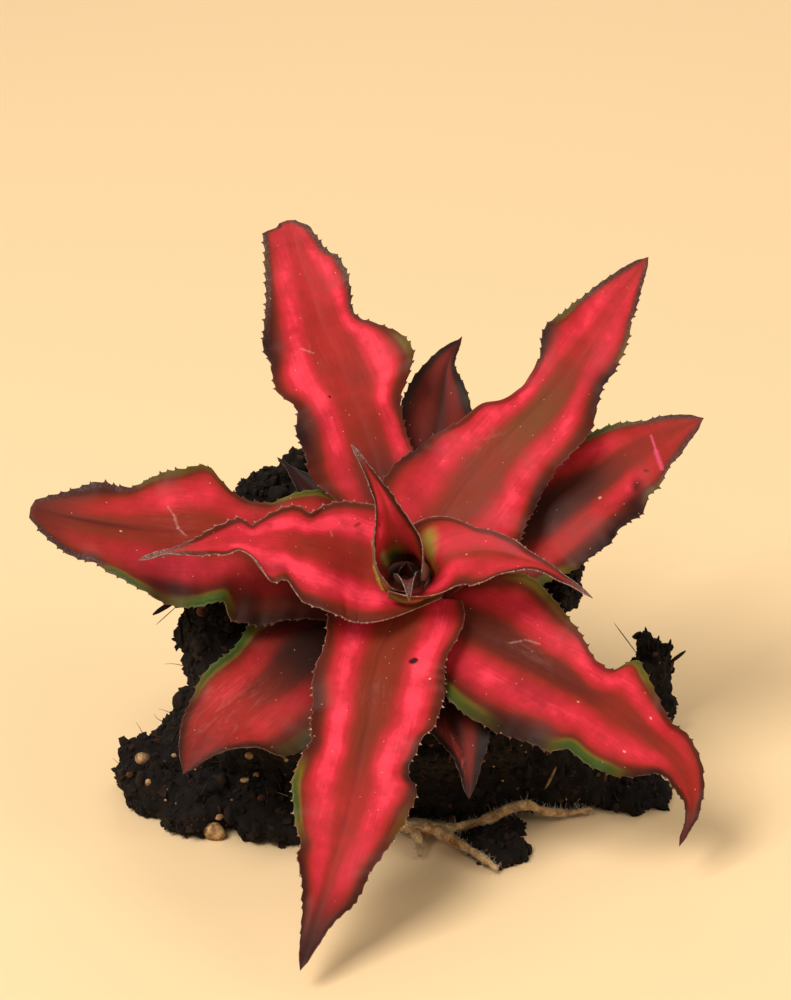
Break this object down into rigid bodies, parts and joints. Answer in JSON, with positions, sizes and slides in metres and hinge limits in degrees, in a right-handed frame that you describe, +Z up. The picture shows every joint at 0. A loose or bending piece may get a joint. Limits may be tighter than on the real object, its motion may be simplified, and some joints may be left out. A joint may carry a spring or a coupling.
{
  "type": "earth star bromeliad",
  "caption": "Low rosette plant with wavy, toothed, lengthwise striped leaves round a leafy cup, leaning on a loose crumbly ball of soil and roots, out of its pot.",
  "frame": {"origin": "middle of the root ball's flat underside, on the surface that the plant rests on", "axes": "+Z up, +X to the right seen from the front, the rosette leans forward towards -Y"},
  "size_m": [0.1532, 0.141, 0.121],
  "materials": {
    "leaf_red": "semi-gloss, coral red stripes on olive brown",
    "leaf_maroon": "semi-gloss, dark maroon",
    "leaf_withered": "dull, dark brown and shrivelled",
    "stem": "matte, pale olive",
    "soil": "matte, crumbly",
    "root": "matte, woolly"
  },
  "bodies": {
    "root": {"root_ball": "soil", "stem": "stem", "leaf_old_back_left": "leaf_withered", "leaf_old_front": "leaf_maroon", "leaf_lower_left": "leaf_red", "leaf_back": "leaf_maroon", "leaf_right": "leaf_red", "leaf_lower_right": "leaf_red", "leaf_left": "leaf_red", "leaf_front": "leaf_red", "leaf_upper_left": "leaf_red", "leaf_upper_right": "leaf_red", "leaf_inner_left": "leaf_red", "leaf_inner_right": "leaf_red", "leaf_heart_tall": "leaf_red", "leaf_heart_front": "leaf_maroon", "leaf_heart_back": "leaf_maroon", "root_front": "root"}
  },
  "joints": []
}
